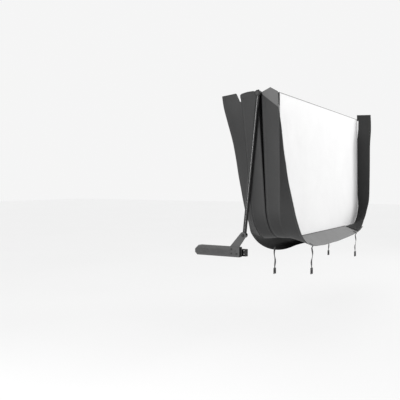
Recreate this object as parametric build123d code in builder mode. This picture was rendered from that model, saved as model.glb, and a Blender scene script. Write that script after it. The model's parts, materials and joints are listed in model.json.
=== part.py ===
from build123d import *
from math import atan, cos, degrees, hypot, radians, sin, tan
import os

# An insulated spa cover in two tapered halves, folded over the cross bar of its swing-arm lifter.
# +X points away from the tub, +Y runs along the bar and +Z is up.
# The origin is the middle of the line through the two arm pivots. All sizes are in millimetres.

# Cover
cover_width = 2240
half_length = 1160
hinge_thickness = 150
edge_thickness = 113
corner_radius = 250
skin = 2
butt_gap = 3
crease_lean = 3.4
hang_spread = 2.57
taper = degrees(atan((hinge_thickness - edge_thickness) / half_length))

# Lifter bar and arms
bar_axis = (118, 0, 1127)
bar_radius = 16
bar_clearance = 1.6
tube_wall = 2
arm_y = 1148
arm_length = hypot(bar_axis[0], bar_axis[2])
head_radius = 24
head_width = 36
eye_radius = 22
eye_width = 32
neck_length = 34
foot_shoulder = 16
head_shoulder = 6
screw_radius = 3
screw_head_radius = 6
screw_head = 4
bar_end = arm_y + head_width / 2 + 2
cap_plug = 15
cap_thickness = 3
coupler_length = 240
shaft_clearance = 0.05

# Face that the underside and the top skin start from, measured from the bar along the thickness
top_at_hinge = -(bar_radius + bar_clearance)
underside = top_at_hinge - hinge_thickness

# Steel channel in the hinge edge of each foam core
channel_height = 90
channel_flange = 30
channel_sheet = 1.2
channel_margin = 60

# Zip along the hinge edge
zip_height = 24
zip_tape = 0.7
zip_teeth = 0.8
zip_teeth_height = 5
zip_margin = 80
slider_height = 14
slider_length = 18

# Skirts
skirt_depth = 150
skirt_cloth = 3
skirt_start = 60
front_near_flare = 35
front_far_flare = 15
front_end_flare = 34
rear_end_droop = 75
rear_end_drop = 80
rear_end_turn = 70
rear_turn_rise = 76

# Hinge cloth over the bar
hinge_cloth = 0.9
hinge_inner = bar_radius + 0.4
hinge_leg = 1.5
hinge_margin = 4

# Straps and buckles
rear_strap_y = 740
front_near_strap_y = 760
front_far_strap_y = 560
strap_width = 25
strap_cloth = 2
strap_gap = 3
front_strap_length = 165
rear_strap_length = 180
buckle_width = 36
buckle_base = 18
buckle_length = 52
buckle_depth = 10
prong_width = 6
prong_shortening = 6

# Pivot stack, as distances from mid-width
pivot_bolt_radius = 6
bushing_radius = 8
play = 0.2
eye_inner = arm_y - eye_width / 2
eye_outer = arm_y + eye_width / 2
flange_outer = eye_outer + 2
ear_inner = flange_outer + 3
ear_outer = ear_inner + 8
rail_outer = ear_outer + 5
bolt_flange_radius = 13
bolt_flange = 3
hex_radius = 10
hex_height = 5

# Bracket
rail_left = -442
rail_right = -29
rail_top = -97
rail_bottom = -178
rail_back = 1132
rail_wall = 4
rib_depth = 3
rib_height = 5
rib_pitch = 10
slot_pitch = 47
slot_count = 7
slot_length = 26
slot_width = 9
slot_from_back = 19
slot_shift = -34
rail_corner = 22
rail_slope_run = 34
rail_slope_drop = 32
ear_back = -118
ear_front = -34
ear_foot = 12
ear_bolt_places = ((-100, -150), (-52, -150), (-100, -114))
ear_bolt_radius = 3
ear_bolt_head = 6
ear_nut_radius = 5.5
hole_clearance = 0.1
pad_inner = 1100
pad_left = -378
pad_right = 8
pad_top = -116
pad_bottom = -174
pad_wall = 5
ear_radius = 27
mount_hole_radius = 3.5
mount_spacing_x = 320
mount_spacing_z = 30


class Half:
    """Working planes of one half. In side view x runs out from the hinge and y up through the slab."""

    def __init__(self, lean, facing):
        outward = (sin(radians(lean)), 0, -cos(radians(lean)))
        self.side = Plane(origin=bar_axis, x_dir=outward, z_dir=(0, facing, 0))
        self.plan = Plane(origin=bar_axis, x_dir=outward, z_dir=self.side.y_dir)
        hem_origin = self.side.from_local_coords(Vector(0, underside, 0))
        self.hem = Plane(origin=hem_origin, x_dir=outward, z_dir=-self.side.y_dir)
        self.near = -facing

    def place(self, out, up):
        """A point of the side view, as a point in space at mid-width."""
        return self.side.from_local_coords(Vector(out, up, 0))


rear = Half(crease_lean + hang_spread, -1)
front = Half(crease_lean - hang_spread, 1)


def finish(piece, name):
    piece.part.label = name
    export_step(piece.part, f"parts/{name}.step")


def slab_top(out):
    """Height of the top skin's outer face in side view."""
    return top_at_hinge - out * tan(radians(taper))


def plan_outline(inset=0, start=butt_gap):
    """Outline of a half seen from above: square at the hinge, round at the outer corners."""
    with BuildSketch() as outline:
        length = half_length - start - 2 * inset
        with Locations((start + inset + length / 2, 0)):
            Rectangle(length, cover_width - 2 * inset)
        fillet(outline.vertices().sort_by(Axis.X)[-2:], corner_radius - inset)
    return outline.sketch


def slab_section(lower_top, raise_bottom):
    """Side view of a half, with its top lowered and its underside raised."""
    with BuildSketch() as section:
        with BuildLine():
            Polyline(
                (butt_gap, slab_top(butt_gap) - lower_top),
                (half_length, slab_top(half_length) - lower_top),
                (half_length, underside + raise_bottom),
                (butt_gap, underside + raise_bottom),
                close=True,
            )
        make_face()
    return section.sketch


def strip_section(upper, thickness):
    """Side view of a skin whose outer face is the line upper(out) and which is thickness deep."""
    with BuildSketch() as section:
        with BuildLine():
            Polyline(
                (butt_gap, upper(butt_gap)),
                (half_length, upper(half_length)),
                (half_length, upper(half_length) - thickness),
                (butt_gap, upper(butt_gap) - thickness),
                close=True,
            )
        make_face()
    return section.sketch


def channel_section():
    """C section whose web stands on the butt face of the foam."""
    web_at = butt_gap + skin + channel_sheet / 2
    middle = (top_at_hinge + underside) / 2
    with BuildSketch() as section:
        with Locations((web_at, middle)):
            Rectangle(channel_sheet, channel_height)
        flange_at = butt_gap + skin + channel_flange / 2
        for rise in (-1, 1):
            with Locations((flange_at, middle + rise * (channel_height - channel_sheet) / 2)):
                Rectangle(channel_flange, channel_sheet)
    return section.sketch


def foam_core(half):
    with BuildPart() as core:
        with BuildSketch(half.side):
            add(slab_section(skin, skin))
        extrude(amount=cover_width / 2, both=True)
        with BuildSketch(half.plan):
            add(plan_outline(skin))
        extrude(amount=2 * underside, mode=Mode.INTERSECT)
        with BuildSketch(half.side):
            add(channel_section())
        extrude(amount=cover_width / 2, both=True, mode=Mode.SUBTRACT)
    return core


def stiffener(half):
    with BuildPart() as channel:
        with BuildSketch(half.side):
            add(channel_section())
        extrude(amount=cover_width / 2 - channel_margin, both=True)
    return channel


def skin_sheet(half, section):
    with BuildPart() as sheet:
        with BuildSketch(half.side):
            add(section)
        extrude(amount=cover_width / 2, both=True)
        with BuildSketch(half.plan):
            add(plan_outline())
        extrude(amount=2 * underside, mode=Mode.INTERSECT)
    return sheet


def side_band(half):
    with BuildPart() as band:
        with BuildSketch(half.side):
            add(slab_section(skin, skin))
        extrude(amount=cover_width / 2, both=True)
        with BuildSketch(half.plan):
            add(plan_outline())
            add(plan_outline(skin), mode=Mode.SUBTRACT)
        extrude(amount=2 * underside, mode=Mode.INTERSECT)
    return band


def zipper(half):
    """Zip tape on the butt face, with its row of teeth and its slider at the near end."""
    middle = underside + hinge_thickness / 3
    with BuildPart() as tape:
        with BuildSketch(half.side):
            with Locations((butt_gap - zip_tape / 2, middle)):
                Rectangle(zip_tape, zip_height)
        extrude(amount=cover_width / 2 - zip_margin, both=True)
        with BuildSketch(half.side):
            with Locations((butt_gap - zip_tape - zip_teeth / 2, middle)):
                Rectangle(zip_teeth, zip_teeth_height)
        extrude(amount=cover_width / 2 - zip_margin - 2 * slider_length, both=True)
        near_end = half.near * (cover_width / 2 - zip_margin - 1.5 * slider_length)
        with BuildSketch(half.side.offset(-near_end)):
            with Locations((butt_gap - zip_tape - zip_teeth / 2, middle)):
                Rectangle(zip_teeth, slider_height)
        extrude(amount=slider_length / 2, both=True)
    return tape


def skirt(half, flare, out_from, out_to, across_from, across_to):
    """Part of the hanging skirt: a ring below the underside, flared outward, cut to one stretch."""
    depth = skirt_depth * cos(radians(flare))
    with BuildPart() as flap:
        with BuildSketch(half.hem):
            add(plan_outline())
        extrude(amount=depth, taper=-flare)
        with BuildSketch(half.hem):
            add(plan_outline(skirt_cloth))
        extrude(amount=depth, taper=-flare, mode=Mode.SUBTRACT)
        with BuildSketch(half.hem):
            with Locations(((out_from + out_to) / 2, (across_from + across_to) / 2)):
                Rectangle(out_to - out_from, across_to - across_from)
        extrude(amount=depth, mode=Mode.INTERSECT)
    return flap


def side_skirt(half, flare, side, out_to):
    """Skirt along one side, from near the hinge. side is the sign of y in the hem plane."""
    middle = side * (cover_width / 2 + skirt_depth - corner_radius / 2 - skirt_depth / 2)
    reach = corner_radius / 2 + skirt_depth / 2
    return skirt(half, flare, skirt_start, out_to, middle - reach, middle + reach)


def rear_end_route():
    """Side view of the rear end skirt: it drops beside the tub wall and turns back under the slab."""
    start = Vector(half_length - 3, underside - 2.5)
    droop = radians(rear_end_droop)
    low = start + Vector(sin(droop), -cos(droop)) * rear_end_drop
    turn = radians(rear_turn_rise)
    return start, low, low + Vector(cos(turn), sin(turn)) * rear_end_turn


def rear_end_skirt():
    with BuildPart() as flap:
        with BuildSketch(rear.side):
            with BuildLine():
                Polyline(*rear_end_route())
            trace(line_width=skirt_cloth)
        extrude(amount=cover_width / 2 - corner_radius, both=True)
    return flap


def hinge_strip():
    """Hinge cloth that runs over the bar between the two top skins."""
    crease = Plane(bar_axis, (sin(radians(crease_lean)), 0, -cos(radians(crease_lean))), (0, -1, 0))
    outer = hinge_inner + hinge_cloth
    with BuildPart() as strip:
        with BuildSketch(crease):
            Circle(outer)
            with Locations((outer, 0)):
                Rectangle(2 * outer, 2 * outer, mode=Mode.SUBTRACT)
            with Locations((hinge_leg / 2, 0)):
                Rectangle(hinge_leg, 2 * outer)
            Circle(hinge_inner, mode=Mode.SUBTRACT)
            with Locations((hinge_leg / 2, 0)):
                Rectangle(hinge_leg, 2 * hinge_inner, mode=Mode.SUBTRACT)
        extrude(amount=cover_width / 2 - hinge_margin, both=True)
    return strip


def strap(top, length):
    """Webbing strap that hangs straight down from top."""
    with BuildPart() as webbing:
        with BuildSketch(Plane.XY.offset(top.Z)):
            with Locations((top.X, top.Y)):
                Rectangle(strap_cloth, strap_width)
        extrude(amount=-length)
    return webbing


def buckle(top):
    """Plug half of a side-release buckle: a base with two side prongs and a middle guide."""
    with BuildPart() as clip:
        with BuildSketch(Plane(origin=(top.X, top.Y, top.Z), x_dir=(0, 1, 0), z_dir=(1, 0, 0))):
            with Locations((0, -buckle_base / 2)):
                RectangleRounded(buckle_width, buckle_base, 3)
            prong = buckle_length - buckle_base / 2
            for across in (-1, 1):
                with Locations((across * (buckle_width - prong_width) / 2, -buckle_length + prong / 2)):
                    RectangleRounded(prong_width, prong, 2.5)
            with Locations((0, -buckle_length + prong_shortening + prong / 2)):
                RectangleRounded(prong_width, prong - 4, 2.5)
        extrude(amount=buckle_depth / 2, both=True)
        fillet(clip.edges().filter_by(Axis.X, reverse=True).group_by(Axis.X)[0], 1)
        fillet(clip.edges().filter_by(Axis.X, reverse=True).group_by(Axis.X)[-1], 1)
    return clip


def tube(axis, start, end):
    with BuildPart() as pipe:
        with BuildSketch(axis.offset(start)):
            Circle(bar_radius)
            Circle(bar_radius - tube_wall, mode=Mode.SUBTRACT)
        extrude(amount=end - start)
    return pipe


def arm_axis(side):
    """Plane square to an arm at its pivot. side is -1 for the near arm and 1 for the far one."""
    return Plane(origin=(0, side * arm_y, 0), x_dir=(0, 1, 0), z_dir=(bar_axis[0], 0, bar_axis[2]))


def arm_end(side, along, radius, width, bore, neck_from, neck_to):
    """Cast end of an arm: an eye across it, and a neck that plugs into the tube."""
    axis = arm_axis(side)
    centre = axis.from_local_coords(Vector(0, 0, along))
    across = Plane(origin=centre, x_dir=(1, 0, 0), z_dir=(0, 1, 0))
    low, high = sorted((neck_from, neck_to))
    with BuildPart() as casting:
        with BuildSketch(across):
            Circle(radius)
        extrude(amount=width / 2, both=True)
        with BuildSketch(axis.offset(min(along, neck_from))):
            Circle(bar_radius)
        extrude(amount=abs(along - neck_from))
        with BuildSketch(axis.offset(low)):
            Circle(bar_radius - tube_wall)
        extrude(amount=high - low)
        with BuildSketch(across):
            Circle(bore)
        extrude(amount=width, both=True, mode=Mode.SUBTRACT)
    return casting


def arm_head(side):
    """Eye that holds the end of the bar, drilled through its top for a screw."""
    bottom = arm_length - head_radius - head_shoulder
    bore = bar_radius + shaft_clearance
    with BuildPart() as head:
        add(arm_end(side, arm_length, head_radius, head_width, bore, bottom, bottom - neck_length).part)
        with BuildSketch(arm_axis(side).offset(arm_length + bar_radius - 1)):
            Circle(screw_radius)
        extrude(amount=2 * head_radius, mode=Mode.SUBTRACT)
    return head


def head_screws():
    """One set screw in the top of each arm head, tight on the bar."""
    with BuildPart() as screws:
        for side in (-1, 1):
            axis = arm_axis(side)
            with BuildSketch(axis.offset(arm_length + bar_radius)):
                Circle(screw_radius)
            extrude(amount=head_radius - bar_radius)
            with BuildSketch(axis.offset(arm_length + head_radius)):
                RegularPolygon(screw_head_radius, 6)
            extrude(amount=screw_head)
    return screws


def ring(side, inner, outer, radius, bore):
    """Flat ring on the pivot line, from inner to outer as distances from mid-width."""
    with BuildPart() as washer:
        with BuildSketch(pivot_plane(side, inner)):
            Circle(radius)
            Circle(bore, mode=Mode.SUBTRACT)
        extrude(amount=outer - inner)
    return washer


def pivot_plane(side, distance):
    """Plane across the pivot line that faces outward. Its y points along +Z."""
    return Plane(origin=(0, side * distance, 0), x_dir=(-side, 0, 0), z_dir=(0, side, 0))


def bushing(side):
    with BuildPart() as sleeve:
        with BuildSketch(pivot_plane(side, eye_inner)):
            Circle(bushing_radius)
            Circle(pivot_bolt_radius + shaft_clearance, mode=Mode.SUBTRACT)
        extrude(amount=eye_width)
        with BuildSketch(pivot_plane(side, eye_outer)):
            Circle(bushing_radius + 5)
            Circle(pivot_bolt_radius + shaft_clearance, mode=Mode.SUBTRACT)
        extrude(amount=flange_outer - eye_outer)
    return sleeve


def pivot_bolt(side):
    with BuildPart() as bolt:
        with BuildSketch(pivot_plane(side, eye_inner - 8)):
            Circle(pivot_bolt_radius)
        extrude(amount=ear_outer - eye_inner + 8)
        with BuildSketch(pivot_plane(side, ear_outer)):
            Circle(bolt_flange_radius)
        extrude(amount=bolt_flange)
        with BuildSketch(pivot_plane(side, ear_outer + bolt_flange)):
            RegularPolygon(hex_radius, 6)
        extrude(amount=hex_height)
    return bolt


def pivot_nut(side):
    with BuildPart() as nut:
        with BuildSketch(pivot_plane(side, eye_inner - 7)):
            RegularPolygon(hex_radius, 6)
            Circle(pivot_bolt_radius, mode=Mode.SUBTRACT)
        extrude(amount=hex_height)
    return nut


def ear_outline(side):
    """Plate from inside the rail up to a round end at the pivot."""
    with BuildSketch() as plate:
        with BuildLine():
            Polyline(
                (-side * ear_back, rail_bottom + ear_foot),
                (-side * ear_back, rail_top),
                (side * 25, 12),
                (-side * 20, -18),
                (-side * ear_front, rail_top),
                (-side * ear_front, rail_bottom + ear_foot),
                close=True,
            )
        make_face()
        Circle(ear_radius)
        Circle(pivot_bolt_radius + shaft_clearance, mode=Mode.SUBTRACT)
    return plate.sketch


def pivot_ear(side):
    with BuildPart() as ear:
        with BuildSketch(pivot_plane(side, ear_inner)):
            add(ear_outline(side))
        extrude(amount=ear_outer - ear_inner)
        with BuildSketch(pivot_plane(side, ear_inner)):
            add(ear_bolt_circles(side, ear_bolt_radius + hole_clearance))
        extrude(amount=ear_outer - ear_inner, mode=Mode.SUBTRACT)
    return ear


def ear_bolt_circles(side, radius):
    with BuildSketch() as circles:
        with Locations([(-side * x, z) for x, z in ear_bolt_places]):
            Circle(radius)
    return circles.sketch


def ear_bolts(side):
    """Three button-head bolts that clamp the ear to the inside of the rail."""
    with BuildPart() as bolts:
        with BuildSketch(pivot_plane(side, ear_inner - 6)):
            add(ear_bolt_circles(side, ear_bolt_radius))
        extrude(amount=rail_outer + rib_depth - ear_inner + 6)
        with BuildSketch(pivot_plane(side, rail_outer + rib_depth)):
            add(ear_bolt_circles(side, ear_bolt_head))
        extrude(amount=ear_bolt_head / 2)
        with BuildSketch(pivot_plane(side, ear_inner - 5)):
            add(ear_bolt_circles(side, ear_nut_radius))
        extrude(amount=5)
    return bolts


def rail_outline(side):
    """Face of the rail: square by the pivot, tapered at the far end of the top."""
    with BuildSketch() as face:
        with BuildLine():
            Polyline(
                (-side * rail_right, rail_top),
                (-side * rail_right, rail_bottom),
                (-side * (rail_left + rail_corner), rail_bottom),
                (-side * rail_left, rail_bottom + rail_corner),
                (-side * rail_left, rail_top - rail_slope_drop),
                (-side * (rail_left + rail_slope_run), rail_top),
                close=True,
            )
        make_face()
    return face.sketch


def bracket_rail(side):
    """Box rail with a ribbed face and a row of slots through its top wall."""
    with BuildPart() as rail:
        with BuildSketch(pivot_plane(side, rail_back)):
            add(rail_outline(side))
        extrude(amount=rail_outer - rail_back)
        with BuildSketch(pivot_plane(side, rail_back + rail_wall)):
            add(offset(rail_outline(side), -rail_wall))
            with Locations((-side * rail_right, (rail_top + rail_bottom) / 2)):
                Rectangle(40, rail_top - rail_bottom - 2 * rail_wall)
        extrude(amount=ear_outer - rail_back - rail_wall, mode=Mode.SUBTRACT)
        rib_rows = int((rail_top - rail_bottom - rail_corner) / rib_pitch)
        with BuildSketch(pivot_plane(side, rail_outer)):
            middle = (rail_left + rail_right - rail_corner) / 2
            with Locations((-side * middle, (rail_top + rail_bottom - 12) / 2)):
                with GridLocations(1, rib_pitch, 1, rib_rows):
                    Rectangle(rail_right - rail_left - 40, rib_height)
        extrude(amount=rib_depth)
        with BuildSketch(pivot_plane(side, ear_inner)):
            add(ear_outline(side))
        extrude(amount=ear_outer - ear_inner, mode=Mode.SUBTRACT)
        with BuildSketch(Plane.XY.offset(rail_top)):
            slots_at = (rail_left + rail_right) / 2 + slot_shift
            with Locations((slots_at, side * (rail_back + slot_from_back))):
                with GridLocations(slot_pitch, 1, slot_count, 1):
                    SlotOverall(slot_length, slot_width)
        extrude(amount=-rail_wall, mode=Mode.SUBTRACT)
        with BuildSketch(pivot_plane(side, ear_outer)):
            add(ear_bolt_circles(side, ear_bolt_radius + hole_clearance))
        extrude(amount=rail_outer + rib_depth - ear_outer, mode=Mode.SUBTRACT)
    return rail


def mounting_plate(side):
    """Channel that is screwed to the cabinet and carries the rail."""
    with BuildPart() as plate:
        with BuildSketch(pivot_plane(side, pad_inner)):
            with Locations((-side * (pad_left + pad_right) / 2, (pad_top + pad_bottom) / 2)):
                Rectangle(pad_right - pad_left, pad_top - pad_bottom)
        extrude(amount=rail_back - pad_inner)
        with BuildSketch(pivot_plane(side, pad_inner + pad_wall)):
            with Locations((-side * (pad_left + pad_right) / 2, (pad_top + pad_bottom) / 2)):
                Rectangle(pad_right - pad_left - 2 * pad_wall, pad_top - pad_bottom - 2 * pad_wall)
        extrude(amount=rail_back - pad_inner, mode=Mode.SUBTRACT)
        with BuildSketch(pivot_plane(side, pad_inner)):
            with Locations((-side * (pad_left + pad_right) / 2, (pad_top + pad_bottom) / 2)):
                with GridLocations(mount_spacing_x, mount_spacing_z, 2, 2):
                    Circle(mount_hole_radius)
        extrude(amount=pad_wall, mode=Mode.SUBTRACT)
    return plate


def bar_half(side):
    return tube(Plane(origin=bar_axis, z_dir=(0, side, 0)), 0.5, bar_end)


def bar_coupler():
    with BuildPart() as coupler:
        with BuildSketch(Plane(origin=bar_axis, z_dir=(0, 1, 0))):
            Circle(bar_radius - tube_wall)
            Circle(bar_radius - 2 * tube_wall, mode=Mode.SUBTRACT)
        extrude(amount=coupler_length / 2, both=True)
    return coupler


def bar_cap(side):
    """Plug that closes the outer end of the bar."""
    axis = Plane(origin=bar_axis, z_dir=(0, side, 0))
    with BuildPart() as cap:
        with BuildSketch(axis.offset(bar_end)):
            Circle(bar_radius)
        extrude(amount=cap_thickness)
        fillet(cap.edges().sort_by(Axis.Y)[-1 if side > 0 else 0], cap_thickness / 2)
        with BuildSketch(axis.offset(bar_end - cap_plug)):
            Circle(bar_radius - tube_wall)
        extrude(amount=cap_plug)
    return cap


def make_cover_half(half, name):
    finish(foam_core(half), f"{name}_foam_core")
    finish(stiffener(half), f"{name}_channel")
    finish(skin_sheet(half, strip_section(slab_top, skin)), f"{name}_top_skin")
    finish(skin_sheet(half, strip_section(lambda out: underside + skin, skin)), f"{name}_liner")
    finish(side_band(half), f"{name}_band")
    finish(zipper(half), f"{name}_zipper")


def make_skirts():
    straight = half_length - corner_radius
    across = cover_width / 2 + skirt_depth
    beyond = half_length + skirt_depth
    finish(side_skirt(rear, 0, rear.near, beyond), "rear_near_skirt")
    finish(side_skirt(rear, 0, -rear.near, beyond), "rear_far_skirt")
    finish(rear_end_skirt(), "rear_end_skirt")
    finish(side_skirt(front, front_near_flare, front.near, straight), "front_near_skirt")
    finish(side_skirt(front, front_far_flare, -front.near, straight), "front_far_skirt")
    end = skirt(front, front_end_flare, straight + 0.5, beyond, -across, across)
    finish(end, "front_end_skirt")


def make_straps():
    flare = radians(front_end_flare)
    front_edge = front.place(
        half_length + skirt_depth * sin(flare), underside - skirt_depth * cos(flare)
    )
    _, low, turned = rear_end_route()
    rear_edge = (rear.place(low.X, low.Y) + rear.place(turned.X, turned.Y)) * 0.5
    for name, edge, length, near_y, far_y in (
        ("front", front_edge, front_strap_length, front_near_strap_y, front_far_strap_y),
        ("rear", rear_edge, rear_strap_length, rear_strap_y, rear_strap_y),
    ):
        for word, across in (("near", -near_y), ("far", far_y)):
            top = Vector(edge.X, across, edge.Z - strap_gap)
            print(f"{name}_{word} strap hangs from {top.X:.1f}, {top.Y:.1f}, {top.Z:.1f}")
            finish(strap(top, length), f"{name}_{word}_strap")
            finish(buckle(top - Vector(0, 0, length)), f"{name}_{word}_buckle")


def make_lifter():
    for word, side in (("near", -1), ("far", 1)):
        foot_top = eye_radius + foot_shoulder
        head_bottom = arm_length - head_radius - head_shoulder
        finish(tube(arm_axis(side), foot_top, head_bottom), f"{word}_arm")
        foot = arm_end(side, 0, eye_radius, eye_width, bushing_radius, foot_top, foot_top + neck_length)
        finish(foot, f"{word}_arm_foot")
        finish(arm_head(side), f"{word}_arm_head")
        finish(bushing(side), f"{word}_pivot_bushing")
        finish(bar_half(side), f"{word}_bar")
        finish(bar_cap(side), f"{word}_bar_cap")
    finish(bar_coupler(), "bar_coupler")
    finish(head_screws(), "head_screws")


def make_brackets():
    for word, side in (("near", -1), ("far", 1)):
        finish(bracket_rail(side), f"{word}_bracket_rail")
        finish(pivot_ear(side), f"{word}_pivot_ear")
        finish(ear_bolts(side), f"{word}_ear_bolts")
        finish(mounting_plate(side), f"{word}_mounting_plate")
        finish(pivot_bolt(side), f"{word}_pivot_bolt")
        finish(pivot_nut(side), f"{word}_pivot_nut")
        bore = pivot_bolt_radius + shaft_clearance
        finish(ring(side, flange_outer + play, ear_inner, 14, bore), f"{word}_outer_washer")
        finish(ring(side, eye_inner - 2, eye_inner - play, 12, bore), f"{word}_inner_washer")


os.makedirs("parts", exist_ok=True)
make_cover_half(rear, "rear")
make_cover_half(front, "front")
make_skirts()
finish(hinge_strip(), "hinge_strip")
make_straps()
make_lifter()
make_brackets()
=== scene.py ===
import json
from math import atan, cos, pi, radians, sin, tan

import bmesh
import bpy
import numpy as np
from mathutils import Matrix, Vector, noise


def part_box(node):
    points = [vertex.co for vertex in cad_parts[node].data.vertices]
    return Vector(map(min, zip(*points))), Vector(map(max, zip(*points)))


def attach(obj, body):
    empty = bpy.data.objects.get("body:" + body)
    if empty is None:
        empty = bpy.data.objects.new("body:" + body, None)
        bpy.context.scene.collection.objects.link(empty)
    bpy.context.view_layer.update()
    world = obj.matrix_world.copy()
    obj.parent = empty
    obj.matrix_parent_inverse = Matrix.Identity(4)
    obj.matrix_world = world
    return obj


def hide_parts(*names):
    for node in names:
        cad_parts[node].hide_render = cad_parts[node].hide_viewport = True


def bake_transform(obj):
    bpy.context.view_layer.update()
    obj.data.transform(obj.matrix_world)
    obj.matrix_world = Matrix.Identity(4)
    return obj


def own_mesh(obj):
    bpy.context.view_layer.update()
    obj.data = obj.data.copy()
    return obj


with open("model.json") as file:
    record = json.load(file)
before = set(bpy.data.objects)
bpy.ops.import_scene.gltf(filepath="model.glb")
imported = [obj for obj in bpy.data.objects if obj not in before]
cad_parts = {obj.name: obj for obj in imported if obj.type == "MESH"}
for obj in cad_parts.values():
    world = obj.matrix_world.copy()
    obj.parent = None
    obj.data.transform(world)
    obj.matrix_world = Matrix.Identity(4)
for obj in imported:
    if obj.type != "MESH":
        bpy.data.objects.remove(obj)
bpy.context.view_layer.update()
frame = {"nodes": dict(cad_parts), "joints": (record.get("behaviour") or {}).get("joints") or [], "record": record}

# The cover's main sizes, in metres, as the CAD model has them.
BAR = np.array(next(j["pos_m"] for j in frame["joints"] if j["name"] == "front_panel_fold"))
HALF_WIDTH = (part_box("front_liner")[1].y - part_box("front_liner")[0].y) / 2
HALF_LENGTH = 1.160
HINGE_THICKNESS = 0.150
EDGE_THICKNESS = 0.113
CORNER = 0.250
BUTT = 0.003
CREASE_LEAN = radians(3.4)
HANG_SPREAD = radians(2.57)
TAPER = atan((HINGE_THICKNESS - EDGE_THICKNESS) / HALF_LENGTH)
TOP = -0.0176
UNDERSIDE = TOP - HINGE_THICKNESS
STRAIGHT = HALF_LENGTH - CORNER
ARC = CORNER * pi / 2
END_WIDTH = 2 * (HALF_WIDTH - CORNER)
SKIRT_DEPTH = 0.150
GROUND = -0.88
FLOOR_REACH = 30

# Cloth and trim
CLOTH = 0.0012
SKIRT_CLOTH = 0.0016
HEM_CLOTH = 0.0034
PIPING_RADIUS = 0.0034
SEAM_DROP = 0.0012
BAND_BULGE = 0.0022
STRAP_WIDTH = 0.025
STRAP_CLOTH = 0.0018
FRONT_STRAP_LENGTH = 0.165
REAR_STRAP_LENGTH = 0.180
HINGE_RADIUS = 0.01685
LOOSE_CLOTH = 0.0014
PIPING_INSET = 0.0016
PIPING_DROP = 0.0012

# Stitches beside a seam
STITCHES_PER_METRE = 130.0
STITCH_SHARE = 0.68
STITCH_ROWS = (0.009, 0.016)
THREAD_RADIUS = 0.0008


class Half:
    """One half of the cover. A place on it is how far out from the hinge, its y, and its height."""

    def __init__(self, lean, facing, body, word):
        self.outward = np.array([sin(lean), 0, -cos(lean)])
        self.upward = -facing * np.array([cos(lean), 0, sin(lean)])
        self.body = body
        self.word = word

    def at(self, out, y, up):
        out, y, up = np.broadcast_arrays(*(np.asarray(v, float) for v in (out, y, up)))
        place = BAR + out[..., None] * self.outward + up[..., None] * self.upward
        place[..., 1] += y
        return place

    def lean_on(self, out, y):
        """Directions in the plan of this half, as vectors of the row frame."""
        out, y = np.broadcast_arrays(np.asarray(out, float), np.asarray(y, float))
        return out[..., None] * self.outward + y[..., None] * np.array([0.0, 1.0, 0.0])


rear = Half(CREASE_LEAN + HANG_SPREAD, -1, "rear_panel", "rear")
front = Half(CREASE_LEAN - HANG_SPREAD, 1, "front_panel", "front")


def slab_top(out):
    return TOP - out * tan(TAPER)


def smooth(x, low, high):
    t = np.clip((np.asarray(x, float) - low) / (high - low), 0, 1)
    return t * t * (3 - 2 * t)


def soft_noise(places, size, seed=0.0):
    """Smooth noise from -1 to 1 at each place, with features about size across."""
    flat = np.asarray(places, float).reshape(-1, 3) / size + seed
    return np.array([noise.noise(Vector(p)) for p in flat]).reshape(np.shape(places)[:-1])


# ---------------------------------------------------------------- materials

class Shader:
    """A Principled material with a few shorthands for its node tree."""

    def __init__(self, name, roughness=0.5, metallic=0.0, specular=0.5):
        self.material = bpy.data.materials.new(name)
        self.material.use_nodes = True
        self.tree = self.material.node_tree
        self.surface = self.tree.nodes["Principled BSDF"]
        self.surface.inputs["Roughness"].default_value = roughness
        self.surface.inputs["Metallic"].default_value = metallic
        self.surface.inputs["Specular IOR Level"].default_value = specular
        self.places = self.tree.nodes.new("ShaderNodeTexCoord").outputs["Object"]
        self.heights = []

    def node(self, kind, inputs=(), **settings):
        made = self.tree.nodes.new(kind)
        for key, value in settings.items():
            setattr(made, key, value)
        for key, value in dict(inputs).items():
            self.feed(made.inputs[key], value)
        return made

    def feed(self, socket, value):
        if isinstance(value, bpy.types.NodeSocket):
            self.tree.links.new(value, socket)
        else:
            socket.default_value = value

    def noise(self, scale, detail=3.0, rough=0.5):
        inputs = {"Vector": self.places, "Scale": scale, "Detail": detail, "Roughness": rough}
        return self.node("ShaderNodeTexNoise", inputs).outputs["Fac"]

    def cells(self, scale, feature="DISTANCE_TO_EDGE"):
        inputs = {"Vector": self.places, "Scale": scale}
        return self.node("ShaderNodeTexVoronoi", inputs, feature=feature).outputs["Distance"]

    def wave(self, scale, direction, where=None):
        inputs = {"Vector": where or self.places, "Scale": scale}
        return self.node("ShaderNodeTexWave", inputs, bands_direction=direction).outputs["Fac"]

    def maths(self, operation, a, b=0.0):
        made = self.node("ShaderNodeMath", {0: a, 1: b}, operation=operation)
        return made.outputs[0]

    def between(self, value, low, high, to_low=0.0, to_high=1.0):
        inputs = {0: value, 1: low, 2: high, 3: to_low, 4: to_high}
        return self.node("ShaderNodeMapRange", inputs).outputs[0]

    def mix(self, share, a, b):
        made = self.node("ShaderNodeMix", data_type="RGBA")
        self.feed(made.inputs[0], share)
        self.feed(made.inputs[6], (*a, 1) if isinstance(a, tuple) else a)
        self.feed(made.inputs[7], (*b, 1) if isinstance(b, tuple) else b)
        return made.outputs[2]

    def colour(self, value):
        self.feed(self.surface.inputs["Base Color"], (*value, 1) if isinstance(value, tuple) else value)

    def roughness(self, value):
        self.feed(self.surface.inputs["Roughness"], value)

    def bump(self, height, distance, strength=1.0):
        """Adds one layer of relief. Layers are chained."""
        made = self.node("ShaderNodeBump", {"Height": height, "Distance": distance, "Strength": strength})
        if self.heights:
            self.tree.links.new(self.heights[-1], made.inputs["Normal"])
        self.heights.append(made.outputs["Normal"])
        self.feed(self.surface.inputs["Normal"], made.outputs["Normal"])


def grey(value):
    return (value, value * 1.005, value * 1.012)


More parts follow.
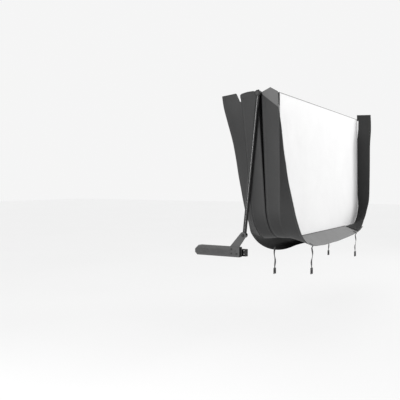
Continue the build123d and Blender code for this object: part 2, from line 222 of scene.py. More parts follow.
def vinyl(name, tone, stitched=False):
    """Marine vinyl: leather grain, cloudy tone and, if stitched, two rows of stitches beside a seam."""
    s = Shader(name, specular=0.22)
    clouds = s.noise(3.5, 4, 0.6)
    fine = s.noise(60, 3, 0.6)
    tone_mix = s.maths("ADD", s.maths("MULTIPLY", clouds, 0.7), s.maths("MULTIPLY", fine, 0.3))
    colour = s.mix(s.between(tone_mix, 0.3, 0.7), grey(tone * 0.86), grey(tone * 1.14))
    grain = s.between(s.cells(420), 0.0, 0.35)
    s.bump(grain, 0.0004, 0.45)
    s.bump(s.noise(7, 3, 0.5), 0.004, 0.35)
    s.roughness(s.between(clouds, 0.3, 0.7, 0.5, 0.64))
    if stitched:
        split = s.node("ShaderNodeSeparateXYZ", {0: s.node("ShaderNodeUVMap", uv_map="seam").outputs[0]})
        along, away = split.outputs[0], split.outputs[1]
        through_stitch = s.maths("FRACT", s.maths("MULTIPLY", along, STITCHES_PER_METRE))
        dash = s.maths("LESS_THAN", through_stitch, STITCH_SHARE)
        rows = [s.maths("LESS_THAN", s.maths("ABSOLUTE", s.maths("SUBTRACT", away, row)), THREAD_RADIUS)
                for row in STITCH_ROWS]
        stitch = s.maths("MULTIPLY", dash, s.maths("MAXIMUM", *rows))
        colour = s.mix(stitch, colour, grey(tone * 2.6))
        from_middle = s.maths("ABSOLUTE", s.maths("SUBTRACT", away, sum(STITCH_ROWS) / 2))
        groove = s.maths("LESS_THAN", from_middle, 0.006)
        s.bump(s.maths("SUBTRACT", stitch, s.maths("MULTIPLY", groove, 0.4)), 0.0008, 0.6)
    s.colour(colour)
    return s.material


def woven(name, tone, pitch, clouds_share=0.08, roughness=0.85):
    """Plain woven cloth, with its threads about pitch apart."""
    s = Shader(name, roughness, specular=0.25)
    threads = 0.32 / pitch
    across = s.wave(threads, "Y")
    down = s.wave(threads, "Z")
    weave = s.maths("MULTIPLY", across, down)
    clouds = s.noise(5, 4, 0.6)
    light, dark = tone * (1 + clouds_share), tone * (1 - clouds_share)
    base = s.mix(s.between(clouds, 0.3, 0.7), (dark,) * 3, (light,) * 3)
    s.colour(s.mix(s.maths("MULTIPLY", weave, 0.12), base, (tone * 0.7,) * 3))
    s.bump(weave, 0.0004, 0.4)
    s.bump(s.noise(11, 3, 0.5), 0.003, 0.25)
    s.surface.inputs["Sheen Weight"].default_value = 0.15
    return s.material


def webbing_cloth():
    """Polypropylene webbing: a fine herringbone with ribbed edges."""
    s = Shader("webbing", 0.7, specular=0.3)
    ribs = s.wave(190, "Y")
    slant = s.node("ShaderNodeMapping", {"Vector": s.places, "Rotation": (radians(35), 0, 0)}).outputs[0]
    twill = s.wave(260, "Z", slant)
    s.colour(s.mix(twill, grey(0.035), grey(0.075)))
    s.bump(s.maths("ADD", ribs, twill), 0.0004, 0.7)
    return s.material


def powder_coat(name, tone, roughness, peel=0.00025):
    s = Shader(name, roughness, specular=0.5)
    orange_peel = s.noise(340, 2, 0.5)
    patches = s.noise(14, 4, 0.6)
    s.colour(s.mix(s.between(patches, 0.35, 0.65), grey(tone * 0.85), grey(tone * 1.15)))
    s.roughness(s.between(patches, 0.3, 0.7, roughness - 0.06, roughness + 0.08))
    s.bump(orange_peel, peel, 0.5)
    return s.material


def moulded(name, tone, roughness=0.5):
    s = Shader(name, roughness, specular=0.45)
    s.colour(s.mix(s.noise(45, 3), grey(tone * 0.8), grey(tone * 1.2)))
    s.bump(s.noise(700, 2), 0.0001, 0.5)
    return s.material


def zinc():
    s = Shader("zinc", 0.34, 1.0)
    spangle = s.node("ShaderNodeTexVoronoi", {"Vector": s.places, "Scale": 90.0}).outputs["Color"]
    level = s.between(spangle, 0.0, 1.0, 0.3, 0.5)
    s.colour(s.mix(s.noise(30, 3), (0.52, 0.54, 0.57), (0.66, 0.67, 0.69)))
    s.roughness(level)
    s.bump(s.noise(200, 2), 0.0001, 0.3)
    return s.material


def foam():
    s = Shader("foam_beads", 0.9, specular=0.2)
    beads = s.cells(260, "F1")
    s.colour(s.mix(beads, (0.93, 0.94, 0.93), (0.78, 0.79, 0.79)))
    s.bump(s.maths("MULTIPLY", beads, -1.0), 0.0015, 0.6)
    return s.material


def studio_floor():
    s = Shader("studio_floor", 0.9, specular=0.1)
    s.colour(s.mix(s.noise(0.8, 2), (0.24, 0.24, 0.24), (0.26, 0.26, 0.26)))
    s.surface.inputs["Emission Color"].default_value = (1, 1, 1, 1)
    s.surface.inputs["Emission Strength"].default_value = 0.62
    return s.material


VINYL_TONE = 0.024
VINYL = vinyl("grey_vinyl", VINYL_TONE)
STITCHED = vinyl("grey_vinyl_stitched", VINYL_TONE, stitched=True)
# Painted shade: the same grey vinyl at under half its tone, standing in for the shade that the rear end skirt
# hangs in.
PAINTED_SHADE_VINYL = vinyl("painted_shade_vinyl", VINYL_TONE * 0.45, stitched=True)
BACKING_PITCH = 0.0016
LINER_PITCH = 0.0022
# Painted shade: the skirt backing cloth at half its tone, for the folded corner that faces away from the light.
SHADED_PATCH_BACKING = woven("corner_backing_painted_shade", 0.10, BACKING_PITCH)
BACKING = woven("skirt_backing", 0.2, BACKING_PITCH)
LINER_SEAM = woven("liner_seam", 0.38, LINER_PITCH)
LINER = woven("white_liner", 0.87, LINER_PITCH, clouds_share=0.02, roughness=0.6)
WEBBING = webbing_cloth()
SLOT_LOOKS = {
    "foam": foam(),
    "galvanised_steel": zinc(),
    "white_liner": LINER,
    "grey_vinyl": VINYL,
    "zip_plastic": moulded("zip_plastic", 0.04, 0.4),
    "webbing": WEBBING,
    "black_plastic": moulded("black_plastic", 0.012, 0.5),
    "black_powder_coat": powder_coat("black_powder_coat", 0.004, 0.22, 0.00003),
    "grey_powder_coat": powder_coat("grey_powder_coat", 0.045, 0.65),
    "dark_plate": powder_coat("dark_plate", 0.008, 0.6),
    "bushing_nylon": moulded("bushing_nylon", 0.06, 0.45),
    "zinc_steel": zinc(),
    "black_fastener": powder_coat("black_fastener", 0.005, 0.55, 0.0001),
}
for entry in frame["record"]["subparts"]:
    node = frame["nodes"][entry["node"]]
    node.data.materials.clear()
    node.data.materials.append(SLOT_LOOKS[entry["material_slot"]])


# ---------------------------------------------------------------- meshes

def make_object(name, places, faces, looks, face_looks=None, seam=None):
    """Mesh object with smooth faces, sharp rims and, if given, a seam map: along and away, in metres."""
    mesh = bpy.data.meshes.new(name)
    mesh.from_pydata([tuple(p) for p in np.asarray(places, float)], [], faces)
    for look in looks:
        mesh.materials.append(look)
    if face_looks is not None:
        mesh.polygons.foreach_set("material_index", face_looks)
    if seam is not None:
        layer = mesh.uv_layers.new(name="seam")
        corner = np.zeros(len(mesh.loops), int)
        mesh.loops.foreach_get("vertex_index", corner)
        layer.data.foreach_set("uv", np.asarray(seam, float)[corner].ravel())
    mesh.polygons.foreach_set("use_smooth", [True] * len(mesh.polygons))
    mesh.set_sharp_from_angle(angle=radians(42))
    mesh.validate()
    piece = bpy.data.objects.new(name, mesh)
    bpy.context.scene.collection.objects.link(piece)
    return piece


def solidified(piece, thickness):
    """Gives a single surface its thickness, on the side away from its normals."""
    layer = piece.modifiers.new("thickness", "SOLIDIFY")
    layer.thickness = thickness
    layer.offset = -1
    return piece


def quads(rows, columns, closed=False, start=0):
    """Faces of a grid of rows by columns. A closed grid joins its last row to its first."""
    made = []
    for r in range(rows if closed else rows - 1):
        for c in range(columns - 1):
            a = start + r * columns + c
            b = start + (r + 1) % rows * columns + c
            made.append((a, b, b + 1, a + 1))
    return made


def thick_sheet(name, middle, thickness, looks, seam=None):
    """Closed sheet around a grid of points. Its front looks along rows x columns."""
    rows, columns = middle.shape[:2]
    normal = np.cross(np.gradient(middle, axis=0), np.gradient(middle, axis=1))
    normal /= np.maximum(np.linalg.norm(normal, axis=-1, keepdims=True), 1e-12)
    half = np.broadcast_to(thickness, (rows, columns))[..., None] / 2
    front_places = (middle + normal * half).reshape(-1, 3)
    back_places = (middle - normal * half).reshape(-1, 3)
    places = np.concatenate([front_places, back_places])
    faces = quads(rows, columns)
    count = rows * columns
    back = [tuple(count + i for i in reversed(face)) for face in faces]
    rim = [r * columns for r in range(rows)] + [(rows - 1) * columns + c for c in range(1, columns)]
    rim += [r * columns + columns - 1 for r in range(rows - 2, -1, -1)]
    rim += list(range(columns - 2, 0, -1))
    sides = [(rim[i], count + rim[i], count + rim[(i + 1) % len(rim)], rim[(i + 1) % len(rim)])
             for i in range(len(rim))]
    sides = [tuple(reversed(face)) for face in sides]
    face_looks = [0] * len(faces) + [len(looks) - 1] * len(back) + [0] * len(sides)
    uv = None if seam is None else np.concatenate([seam.reshape(-1, 2)] * 2)
    return make_object(name, places, faces + back + sides, looks, face_looks, uv)


def swept_tube(name, path, radius, across, look, closed=False, sides=8):
    """Tube along a path. across is a direction that the path never runs along."""
    path = np.asarray(path, float)
    if closed:
        ahead = np.roll(path, -1, 0) - np.roll(path, 1, 0)
    else:
        ahead = np.gradient(path, axis=0)
    ahead /= np.linalg.norm(ahead, axis=1, keepdims=True)
    first = np.cross(ahead, across)
    first /= np.linalg.norm(first, axis=1, keepdims=True)
    second = np.cross(first, ahead)
    turn = np.linspace(0, 2 * pi, sides, endpoint=False)
    rings = path[:, None] + radius * (np.cos(turn)[None, :, None] * first[:, None]
                                      + np.sin(turn)[None, :, None] * second[:, None])
    count = len(path)
    faces = []
    for r in range(count if closed else count - 1):
        for c in range(sides):
            a, b = r * sides + c, (r + 1) % count * sides + c
            d, e = r * sides + (c + 1) % sides, (r + 1) % count * sides + (c + 1) % sides
            faces.append((a, d, e, b))
    if not closed:
        faces.append(tuple(reversed(range(sides))))
        faces.append(tuple(range((count - 1) * sides, count * sides)))
    return make_object(name, rings.reshape(-1, 3), faces, [look])


# ---------------------------------------------------------------- cover halves

SIDE_STEPS = 44
ARC_STEPS = 12
END_STEPS = 84
FACE_INSETS = (0.0, 0.004, 0.009, 0.016, 0.026, 0.04, 0.06, 0.08, 0.1, 0.125, 0.15, 0.175, 0.2, 0.225, CORNER)


def outline(inset):
    """The plan of a half as a closed loop: near side, corner, end, corner, far side, butt."""
    wide, beyond = HALF_WIDTH - inset, HALF_LENGTH - inset
    middle = HALF_WIDTH - CORNER
    side = np.linspace(BUTT + inset, STRAIGHT, SIDE_STEPS, endpoint=False)
    turn = np.linspace(0, pi / 2, ARC_STEPS, endpoint=False)
    end = np.linspace(-middle, middle, END_STEPS, endpoint=False)
    radius = CORNER - inset
    near = np.stack([side, np.full_like(side, -wide)], 1)
    first = np.stack([STRAIGHT + radius * np.sin(turn), -middle - radius * np.cos(turn)], 1)
    across = np.stack([np.full_like(end, beyond), end], 1)
    second = np.stack([STRAIGHT + radius * np.cos(turn), middle + radius * np.sin(turn)], 1)
    far_side = np.linspace(STRAIGHT, BUTT + inset, SIDE_STEPS, endpoint=False)
    far = np.stack([far_side, np.full_like(far_side, wide)], 1)
    back = np.linspace(wide, -wide, END_STEPS, endpoint=False)
    butt = np.stack([np.full_like(back, BUTT + inset), back], 1)
    return np.concatenate([near, first, across, second, far, butt])


def outline_normals():
    """Outward directions of the outline, in plan."""
    turn = np.linspace(0, pi / 2, ARC_STEPS, endpoint=False)
    near = np.tile((0.0, -1.0), (SIDE_STEPS, 1))
    first = np.stack([np.sin(turn), -np.cos(turn)], 1)
    end = np.tile((1.0, 0.0), (END_STEPS, 1))
    second = np.stack([np.cos(turn), np.sin(turn)], 1)
    far = np.tile((0.0, 1.0), (SIDE_STEPS, 1))
    butt = np.tile((-1.0, 0.0), (END_STEPS, 1))
    return np.concatenate([near, first, end, second, far, butt])


def edge_distance(out, y):
    """How far a place on the plan is from the nearest edge."""
    square = np.minimum(np.minimum(out - BUTT, HALF_WIDTH - np.abs(y)), HALF_LENGTH - out)
    past = np.hypot(np.maximum(out - STRAIGHT, 0), np.maximum(np.abs(y) - HALF_WIDTH + CORNER, 0))
    return np.where(past > 0, np.minimum(square, CORNER - past), square)


def face_relief(out, y, crown, folds):
    """Height of a cover face above its plane: dipped at the seam, crowned and faintly creased."""
    inset = edge_distance(out, y)
    height = -SEAM_DROP * (1 - smooth(inset, 0.004, 0.016)) + crown * smooth(inset, 0.01, 0.22)
    slanted = np.stack([out * 0.30 + y * 0.12, y * 0.9 - out * 0.25, np.zeros_like(out)], -1)
    ridges = 1 - 2 * np.abs(soft_noise(slanted, 0.17, 3.1))
    ripples = soft_noise(slanted, 0.06, 7.7)
    tight = 0.35 + 0.65 * smooth(soft_noise(slanted, 0.6, 1.3), -0.2, 0.4)
    creases = 0.8 * np.maximum(ridges, -0.2) ** 3 + 0.35 * ripples
    return height + folds * smooth(inset, 0.01, 0.07) * tight * creases


def face_sheet(half, name, top, crown, folds, look, node):
    """One wide face of a half, as rings that follow the outline round a grid."""
    rings = [outline(inset) for inset in FACE_INSETS]
    count = len(rings[0])
    outs = np.linspace(BUTT + CORNER, STRAIGHT, SIDE_STEPS + 1)
    acrosses = np.linspace(-HALF_WIDTH + CORNER, HALF_WIDTH - CORNER, END_STEPS + 1)
    grid = np.stack(np.meshgrid(outs, acrosses, indexing="ij"), -1).reshape(-1, 2)
    plan = np.concatenate(rings + [grid])
    faces = []
    for r in range(len(rings) - 1):
        for i in range(count):
            a, b = r * count + i, r * count + (i + 1) % count
            faces.append((a, b, b + count, a + count))
    faces += [tuple(reversed(f)) for f in quads(SIDE_STEPS + 1, END_STEPS + 1, start=len(rings) * count)]
    relief = face_relief(plan[:, 0], plan[:, 1], crown, folds)
    up = slab_top(plan[:, 0]) + relief if top else UNDERSIDE - relief
    places = half.at(plan[:, 0], plan[:, 1], up)
    piece = make_object(name, places, faces, [look])
    weld_and_face(piece, half.upward if top else -half.upward)
    solidified(piece, CLOTH * 0.6)
    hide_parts(node)
    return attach(piece, half.body)


def weld_and_face(piece, direction):
    """Joins the doubled points and turns the faces to look along direction."""
    work = bmesh.new()
    work.from_mesh(piece.data)
    bmesh.ops.remove_doubles(work, verts=work.verts, dist=1e-5)
    bmesh.ops.recalc_face_normals(work, faces=work.faces)
    towards = sum((f.normal * f.calc_area() for f in work.faces), Vector())
    if towards.dot(Vector(direction)) < 0:
        bmesh.ops.reverse_faces(work, faces=work.faces)
    work.to_mesh(piece.data)
    work.free()


def edge_band(half):
    """Side wall of a half: one strip all round, padded between its seams and flat at the butt."""
    loop, normals = outline(0.0), outline_normals()
    share = np.array([0, 0.03, 0.08, 0.16, 0.3, 0.5, 0.7, 0.84, 0.92, 0.97, 1.0])
    pad = (BAND_BULGE + SEAM_DROP) * smooth(np.minimum(share, 1 - share), 0.0, 0.3) - SEAM_DROP
    out, y = loop[:, :1], loop[:, 1:]
    top = slab_top(out)
    up = UNDERSIDE + share[None, :] * (top - UNDERSIDE)
    at_butt = (normals[:, 0] < 0)[:, None]
    proud = np.where(at_butt, -SEAM_DROP * 0.5, pad[None, :])
    plain = half.at(np.broadcast_to(out, up.shape), np.broadcast_to(y, up.shape), up)
    proud = proud + np.where(at_butt, 0, 0.0009) * soft_noise(plain, 0.11, 5.0)
    places = plain + proud[..., None] * half.lean_on(normals[:, 0], normals[:, 1])[:, None]
    along = np.cumsum(np.linalg.norm(loop - np.roll(loop, 1, 0), axis=1))
    seam = np.stack(np.broadcast_arrays(along[:, None], np.minimum(up - UNDERSIDE, top - up)), -1)
    faces = quads(len(loop), len(share), closed=True)
    piece = make_object(f"{half.word}_edge_band", places.reshape(-1, 3), faces, [STITCHED],
                        seam=seam.reshape(-1, 2))
    turn_outward(piece, half.at(HALF_LENGTH / 2, 0.0, (TOP + UNDERSIDE) / 2))
    solidified(piece, CLOTH * 0.6)
    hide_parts(f"{half.word}_band")
    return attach(piece, half.body)


def turn_outward(piece, middle):
    """Turns the faces to look away from middle."""
    total = sum((f.center - Vector(middle)).dot(f.normal) * f.area for f in piece.data.polygons)
    if total < 0:
        piece.data.flip_normals()


def piping(half, top, look, at_butt):
    """Corded seam along one edge of the slab: round its three free sides, or along its butt."""
    loop, normals = outline(0.0), outline_normals()
    chosen = (normals[:, 0] < 0) == at_butt
    loop, normals = loop[chosen], normals[chosen]
    up = slab_top(loop[:, 0]) if top else np.full(len(loop), UNDERSIDE)
    places = half.at(loop[:, 0], loop[:, 1], up + (-PIPING_DROP if top else PIPING_DROP))
    places = places - PIPING_INSET * half.lean_on(normals[:, 0], normals[:, 1])
    name = f"{half.word}_{'top' if top else 'lower'}_{'butt' if at_butt else 'rim'}_piping"
    piece = swept_tube(name, places, PIPING_RADIUS, half.upward, look)
    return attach(piece, half.body)


def cover_half(half, liner_folds):
    face_sheet(half, f"{half.word}_underside_liner", False, 0.0035, liner_folds, LINER,
               f"{half.word}_liner")
    face_sheet(half, f"{half.word}_top_cover", True, 0.0025, 0.0012, VINYL,
               f"{half.word}_top_skin")
    edge_band(half)
    piping(half, True, VINYL, False)
    piping(half, True, VINYL, True)
    piping(half, False, VINYL, False)
    piping(half, False, LINER_SEAM, True)


# ---------------------------------------------------------------- skirts

def hem(s, side):
    """Place and outward direction on the edge of the underside, s metres from the hinge on one side."""
    s = np.asarray(s, float)
    turn = np.clip((s - STRAIGHT) / CORNER, 0, pi / 2)
    beyond = np.maximum(s - STRAIGHT - ARC, 0)
    out = np.minimum(s, STRAIGHT) + CORNER * np.sin(turn)
    inward = CORNER * (1 - np.cos(turn)) + beyond
    return out, side * (HALF_WIDTH - inward), np.sin(turn), side * np.cos(turn)


def eased(s, stops, values):
    """Values between the stops, with the bends at the stops rounded off."""
    return sum(np.interp(s + shift, stops, values) for shift in np.linspace(-0.07, 0.07, 9)) / 9


# Rows of a skirt from the hem to its free edge, as shares of its depth, closer at the folds.
DEPTH_ROWS = (0, 0.03, 0.06, 0.1, 0.15, 0.2, 0.25, 0.3, 0.4, 0.5, 0.6, 0.7, 0.79, 0.86, 0.88, 0.93, 0.97, 1.0)
RIPPLE = 0.004
RIPPLE_SIZE = 0.19


def skirt_grid(half, side, stops, reach, steps, top_edge=None, turn_from=0.0, turn_to=1.0, seed=0.0):
    """Middle surface of a hanging skirt over one reach of the hem, with its thickness and seam map.

    stops gives, at places along the hem, the angle at which the skirt leaves the hem and the angle
    that it ends at, in degrees outward from straight down."""
    stops = np.asarray(stops, float)
    t = np.linspace(0, 1, steps)
    v = np.array(DEPTH_ROWS)
    s = reach[0] + (reach[1] - reach[0]) * t
    s = np.broadcast_to(s[:, None], (steps, len(v))).copy()
    if top_edge is not None:
        s += np.interp(v, *zip(*top_edge))[None, :] * (np.clip(1 - 4 * t, 0, 1) ** 2)[:, None]
    root = np.radians(eased(s, stops[:, 0], stops[:, 1]))
    tip = np.radians(eased(s, stops[:, 0], stops[:, 2]))
    middle_v = np.concatenate([[0], (v[1:] + v[:-1]) / 2])
    angle = root + (tip - root) * smooth(middle_v, turn_from, turn_to)[None, :]
    step = SKIRT_DEPTH * np.diff(v, prepend=0)[None, :]
    outward = np.cumsum(np.sin(angle) * step, axis=1)
    down = np.cumsum(np.cos(angle) * step, axis=1)
    out, y, n_out, n_y = hem(s, side)
    places = half.at(out + n_out * outward, y + n_y * outward, UNDERSIDE - down)
    flat = np.stack([s, np.zeros_like(s), np.broadcast_to(v * 0.03, s.shape)], -1)
    sway = RIPPLE * soft_noise(flat, RIPPLE_SIZE, seed)
    lean = half.lean_on(n_out * np.cos(angle), n_y * np.cos(angle)) + np.sin(angle)[..., None] * half.upward
    places = places + (sway * v[None, :])[..., None] * lean
    seam = np.stack([s, np.broadcast_to(SKIRT_DEPTH * (1 - v)[None, :], s.shape)], -1)
    hem_fold = smooth(v, 0.865, 0.875) + 0.6 * (1 - smooth(v, 0.05, 0.08))
    thickness = SKIRT_CLOTH + (HEM_CLOTH - SKIRT_CLOTH) * hem_fold
    return places, np.broadcast_to(thickness, s.shape), seam


def skirt(half, name, side, stops, reach, steps, looks, node, **shape):
    places, thickness, seam = skirt_grid(half, side, stops, reach, steps, **shape)
    if (side < 0) == (half is rear):
        places, thickness, seam = places[::-1], thickness[::-1], seam[::-1]
    piece = thick_sheet(name, places, thickness, looks, seam)
    if node:
        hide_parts(node)
    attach(piece, half.body)
    return piece


WHOLE = 2 * (STRAIGHT + ARC) + END_WIDTH
OUT_LOOKS = [STITCHED, BACKING]
# Where the pieces of the skirts start and end, along the hem from the hinge.
CORNER_END = STRAIGHT + ARC
NEAR_START = 0.112
FRONT_END = 2.94
FAR_TOP = -0.045
FAR_END = 1.56
FRONT_END_STEPS = 130
# Profiles of the skirts: distance along the hem, angle at the hem and angle at the free edge.
# A solver fitted these distances and angles to a traced outline. They were then rounded and adjusted.
FRONT_RIM = ((0.112, 72, 74), (0.237, 65, 67), (0.477, 55, 56), (0.687, 44, 46), (0.80, 35, 36),
             (STRAIGHT, 25, 26), (0.96, 17, 18), (1.0, 12, 13), (1.05, 9, 10), (1.20, 10, 11), (1.25, 12, 14),
             (CORNER_END, 18, 21), (1.5, 31, 34), (1.8, 39, 41), (2.2, 38, 41), (2.6, 28, 32),
             (2.733, 24, 27), (2.8, 21, 24), (2.86, 15, 17), (2.9, 8, 10), (FRONT_END, 1, 1))
FRONT_FAR = ((FAR_TOP, 30, 28), (0.10, 14, 11), (0.24, -6, -10), (0.5, -12, -14), (0.7, -13, -15),
             (STRAIGHT, -20, -23), (1.0, -27, -30), (1.15, -30, -33), (CORNER_END, -25, -30),
             (1.38, -12, -16), (1.45, 2, 3), (FAR_END, 17, 20))
REAR_SIDE = ((0.0, 20, 28), (0.10, 4, 1), (0.2, -10, -13), (0.292, -18, -24), (0.438, -26, -33),
             (0.55, -30, -35), (0.652, -33, -38), (0.75, -36, -42), (0.85, -41, -46),
             (STRAIGHT, -45, -49), (1.05, -46, -51), (1.15, -42, -47), (1.2, -38, -42),
             (1.25, -33, -35), (CORNER_END, -25, -22), (1.4, 0, 10), (1.5, 20, 50), (1.62, 45, 100),
             (1.8, 70, 160))
REAR_RIM = REAR_SIDE + tuple((WHOLE - s, root, tip) for s, root, tip in reversed(REAR_SIDE))
# The far skirts are split here, so that what stands past the hinge is a piece of its own.
FAR_SPLIT = 0.02
# How far the cut end at the hinge reaches past the start, at shares of the depth.
REAR_TOP_EDGE = ((0, 0.035), (0.06, 0.034), (0.2, -0.030), (0.25, -0.037), (1.0, -0.026))


def welt():
    """Edge of the white liner, turned up on to the far skirt and sewn down unevenly."""
    places, _, seam = skirt_grid(front, 1, FRONT_FAR, (FAR_SPLIT, FAR_END), 100, seed=3.0)
    widths = ((FAR_TOP, 0.016), (0.12, 0.013), (0.22, 0.003), (0.85, 0.003), (0.97, 0.014), (1.2, 0.014),
              (1.5, 0.005))
    width = np.interp(seam[:, 0, 0], *zip(*widths))
    share = np.linspace(0.0, 1.0, 5)
    root, on_skirt = places[:, 0], places[:, 3] - places[:, 0]
    on_skirt /= np.linalg.norm(on_skirt, axis=1, keepdims=True)
    aside = np.cross(on_skirt, np.gradient(root, axis=0))
    aside /= np.linalg.norm(aside, axis=1, keepdims=True)
    inward = root - front.at(HALF_LENGTH / 2, 0.0, UNDERSIDE)
    aside *= -np.sign((aside * inward).sum(1, keepdims=True))
    strip = root[:, None] + share[None, :, None] * (width[:, None] * on_skirt)[:, None]
    strip = strip + 0.0032 * aside[:, None]
    piece = thick_sheet("front_far_liner_welt", strip, 0.001, [LINER])
    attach(piece, front.body)


def make_skirts():
    far_corner = CORNER_END + END_WIDTH
    skirt(front, "front_near_skirt_cloth", -1, FRONT_RIM, (NEAR_START, STRAIGHT), 60, OUT_LOOKS,
          "front_near_skirt", seed=1.0)
    skirt(front, "front_end_skirt_cloth", -1, FRONT_RIM, (STRAIGHT, FRONT_END), FRONT_END_STEPS, OUT_LOOKS,
          "front_end_skirt", seed=1.0)
    skirt(front, "front_far_skirt_cloth", 1, FRONT_FAR, (FAR_SPLIT, FAR_END), 100, [STITCHED],
          "front_far_skirt", seed=3.0)
    stub = skirt(front, "front_far_skirt_top", 1, FRONT_FAR, (FAR_TOP, FAR_SPLIT), 12, [STITCHED], None,
                 seed=3.0)
    tuple(front.at(FAR_SPLIT, 0, UNDERSIDE))
    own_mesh(stub)
    welt()
    skirt(rear, "rear_near_skirt_cloth", -1, REAR_RIM, (0.0, CORNER_END), 96, OUT_LOOKS, "rear_near_skirt",
          top_edge=REAR_TOP_EDGE, turn_from=0.3, turn_to=0.8, seed=4.0)
    skirt(rear, "rear_far_skirt_cloth", 1, REAR_RIM, (FAR_SPLIT, CORNER_END), 96, OUT_LOOKS, "rear_far_skirt",
          turn_from=0.3, turn_to=0.8, seed=4.0)
    # The rear end skirt's outside is the grey vinyl darkened as painted shade.
    skirt(rear, "rear_end_skirt_cloth", -1, REAR_RIM, (CORNER_END, far_corner), 110, [PAINTED_SHADE_VINYL, BACKING],
          "rear_end_skirt", turn_from=0.3, turn_to=0.8, seed=4.0)


# ---------------------------------------------------------------- hinge and corner folds

def hinge_cloth():
    """Double cloth over the bar that joins the two top skins."""
    y = np.linspace(-HALF_WIDTH + 0.004, HALF_WIDTH - 0.004, 60)
    turn = np.linspace(pi, 0, 25)
    across = np.array([cos(CREASE_LEAN), 0, sin(CREASE_LEAN)])
    down = np.array([sin(CREASE_LEAN), 0, -cos(CREASE_LEAN)])
    round_bar = HINGE_RADIUS * (np.cos(turn)[:, None] * across - np.sin(turn)[:, None] * down)
    leg = 0.0012 * down
    round_bar = np.concatenate([[round_bar[0] + leg], round_bar, [round_bar[-1] + leg]])
    places = BAR + np.broadcast_to(round_bar[:, None], (len(round_bar), len(y), 3))
    places = places + np.stack([0 * y, y, 0 * y], -1)[None]
    piece = thick_sheet("hinge_cloth", places, 0.0008, [VINYL])
    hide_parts("hinge_strip")
    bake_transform(piece)


def corner_fold():
    """Top end of the front near skirt, folded back over the side band so that its lining shows."""
    corners = {key: front.at(out, 0.0, up) for key, out, up in (
        ("bar", -0.005, -0.009), ("peak", -0.0416, -0.0946), ("hem", -0.003, UNDERSIDE + 0.009),
        ("foot", 0.122, UNDERSIDE + 0.004))}
    a = np.linspace(0, 1, 22)[:, None, None]
    b = np.linspace(0, 1, 18)[None, :, None]
    places = ((1 - a) * ((1 - b) * corners["bar"] + b * corners["peak"])
              + a * ((1 - b) * corners["foot"] + b * corners["hem"]))
    lift = 0.0062 + 0.0032 * np.sin(pi * a[..., 0]) * np.sin(pi * b[..., 0] * 0.8)
    lift = lift + 0.0008 * soft_noise(places, 0.035, 9.0)
    places[..., 1] = -HALF_WIDTH - lift
    # Its lining is the skirt backing darkened as painted shade.
    piece = thick_sheet("front_near_corner_fold", places[::-1], LOOSE_CLOTH, [SHADED_PATCH_BACKING])
    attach(piece, "front_panel")


def hinge_gusset(side):
    """Slack cloth at one end of the rear half's butt, arched over the zip."""
    bottom, top = -0.171, -0.022
    up = np.linspace(bottom, top, 30)
    height = np.interp(up, (bottom, -0.115, -0.06, top), (0.030, 0.0375, 0.0355, 0.017))
    height = height - 0.006 * (1 - smooth(up, bottom, -0.160))
    route = np.array([(-0.009, 0.0), (0.25, 0.0), (0.6, 0.0005), (0.86, 0.003), (0.97, 0.010), (1.0, 0.022),
                      (0.93, 0.045), (0.74, 0.075), (0.45, 0.105), (0.18, 0.135), (0.03, 0.16)])
    rise = np.clip(route[:, 0], 0, 1)[None, :] * height[:, None]
    rise[:, 0] = -0.009
    inward = np.broadcast_to(route[:, 1][None, :], rise.shape)
    places = rear.at(BUTT - 0.0015 - rise, side * (HALF_WIDTH + 0.0022 - inward), up[:, None] + 0 * rise)
    places = places + 0.0012 * soft_noise(places, 0.03, 4.0)[..., None] * np.array([0, 0, 1.0])
    piece = thick_sheet(f"rear_{'near' if side < 0 else 'far'}_hinge_gusset",
                        places if side < 0 else places[::-1], LOOSE_CLOTH, [VINYL])
    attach(piece, "rear_panel")
    tuple(rear.at(BUTT, 0.0, 0.0))
    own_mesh(piece)


# ---------------------------------------------------------------- straps

def spline_points(route, count=60):
    """Evenly spaced points on the smooth line that a route controls."""
    curve = bpy.data.curves.new("route", "CURVE")
    curve.dimensions = "3D"
    spline = curve.splines.new("NURBS")
    spline.points.add(len(route) - 1)
    for point, place in zip(spline.points, route):
        point.co = (*place, 1)
    spline.order_u = 3
    spline.use_endpoint_u = True
    spline.resolution_u = 12
    holder = bpy.data.objects.new("route", curve)
    line = bpy.data.meshes.new_from_object(holder)
    points = np.array([v.co for v in line.vertices])
    bpy.data.objects.remove(holder)
    bpy.data.curves.remove(curve)
    length = np.concatenate([[0], np.cumsum(np.linalg.norm(np.diff(points, axis=0), axis=1))])
    even = np.linspace(0, length[-1], count)
    return np.stack([np.interp(even, length, points[:, k]) for k in range(3)], 1)


# Bends of the straps: how far down each point is, as a share, and how far it stands out in x.
FRONT_BENDS = ((0, 0.0), (0.12, 0.004), (0.3, 0.009), (0.5, 0.004), (0.68, -0.003), (0.84, -0.001), (1, 0.0))
REAR_BENDS = ((0, 0.0), (0.15, -0.003), (0.34, -0.006), (0.52, 0.002), (0.7, 0.005), (0.86, 0.001), (1, 0.0))


def strap(half, word, bends, length):
    """Webbing strap with its end turned through the buckle and sewn back."""
    name = f"{half.word}_{word}_strap"
    low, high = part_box(name)
    top = Vector(((low.x + high.x) / 2, (low.y + high.y) / 2, high.z))
    route = [(top.x + out, top.y, top.z - share * length) for share, out in bends]
    line = spline_points(route)
    share = np.linspace(0, 1, len(line))
    twist = 0.14 * np.sin(share * 3.4 * pi)
    across = np.stack([np.sin(twist), np.cos(twist), 0 * twist], 1)
    width = np.linspace(-0.5, 0.5, 9) * STRAP_WIDTH
    places = line[:, None] + width[None, :, None] * across[:, None]
    doubled = smooth(share, 0.76, 0.775) + (1 - smooth(share, 0.03, 0.05))
    thinner_edges = 1 - 0.45 * (np.abs(width) / width[-1]) ** 6
    thickness = STRAP_CLOTH * (1 + 0.9 * doubled)[:, None] * thinner_edges[None, :]
    piece = thick_sheet(f"{name}_webbing", places, thickness, [WEBBING])
    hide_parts(name)
    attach(piece, f"{name}_set")


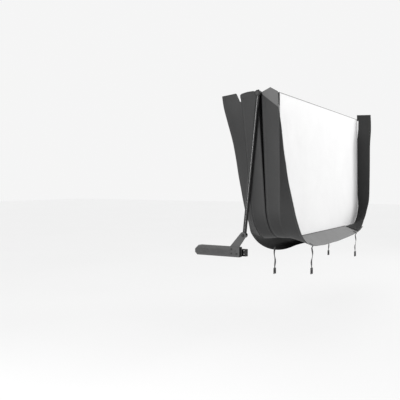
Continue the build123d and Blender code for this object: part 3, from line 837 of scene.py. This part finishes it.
def strap_tab(half, word, stops, reach, steps, **shape):
    """Sewn end of a strap: up the inner side of the skirt, over its free edge, to the strap's top."""
    low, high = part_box(f"{half.word}_{word}_strap")
    top = np.array(((low.x + high.x) / 2, (low.y + high.y) / 2, high.z))
    places, _, _ = skirt_grid(half, -1, stops, reach, steps, **shape)
    row = np.abs(places[:, -1, 1] - top[1]).argmin()
    edge, above = places[row, -1], places[row, -6]
    edge[1] = above[1] = top[1]
    lift = half.outward * -0.0034
    over_edge = edge + (edge - above) * 0.06
    line = spline_points([above + lift, edge + lift, over_edge, top, top - (0, 0, 0.006)], 30)
    across = np.linspace(-0.5, 0.5, 7) * STRAP_WIDTH
    grid = line[:, None] + across[None, :, None] * np.array([0, 1.0, 0])
    piece = thick_sheet(f"{half.word}_{word}_strap_tab", grid, 0.0022, [WEBBING])
    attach(piece, half.body)


# ---------------------------------------------------------------- studio

def area_light(name, place, target, size, size_y, power):
    data = bpy.data.lights.new(name, "AREA")
    data.shape = "RECTANGLE"
    data.size, data.size_y = size, size_y
    data.energy = power
    light = bpy.data.objects.new(name, data)
    light.location = place
    light.visible_camera = False
    light.rotation_euler = (Vector(target) - Vector(place)).to_track_quat("-Z", "Y").to_euler()
    bpy.context.scene.collection.objects.link(light)


def studio():
    world = bpy.data.worlds.new("studio")
    world.use_nodes = True
    backdrop = world.node_tree.nodes["Background"]
    backdrop.inputs["Color"].default_value = (0.915, 0.915, 0.915, 1)
    backdrop.inputs["Strength"].default_value = 1.0
    bpy.context.scene.world = world
    bpy.context.scene.view_settings.view_transform = "Standard"
    area_light("key", (3.4, 4.4, 2.8), (0.3, 0, 0.5), 1.6, 1.6, 120)
    area_light("side_soft_box", (0.1, -5.7, 1.3), (0, -1.1, 0.5), 1.1, 3.6, 210)
    corners = [(x * FLOOR_REACH, y * FLOOR_REACH, GROUND) for x, y in ((-1, -1), (1, -1), (1, 1), (-1, 1))]
    floor = make_object("studio_floor", corners, [(0, 1, 2, 3)], [studio_floor()])


EYE = (2.010, -5.281, 0.422)
LENS = 51.4
SENSOR = 36
TURN = radians(30.39)
DOWNWARD = radians(1.735)


def camera():
    data = bpy.data.cameras.new("camera")
    data.lens = LENS
    data.sensor_width = SENSOR
    eye = bpy.data.objects.new("camera", data)
    eye.location = EYE
    eye.rotation_euler = (pi / 2 - DOWNWARD, 0, TURN)
    bpy.context.scene.collection.objects.link(eye)
    bpy.context.scene.camera = eye


camera()
for word in ("near", "far"):
    strap(front, word, FRONT_BENDS, FRONT_STRAP_LENGTH)
    strap(rear, word, REAR_BENDS, REAR_STRAP_LENGTH)
cover_half(front, 0.0065)
cover_half(rear, 0.0030)
make_skirts()
hinge_cloth()
corner_fold()
for side in (-1, 1):
    hinge_gusset(side)
for word in ("near", "far"):
    strap_tab(front, word, FRONT_RIM, (STRAIGHT, FRONT_END), FRONT_END_STEPS, seed=1.0)
studio()
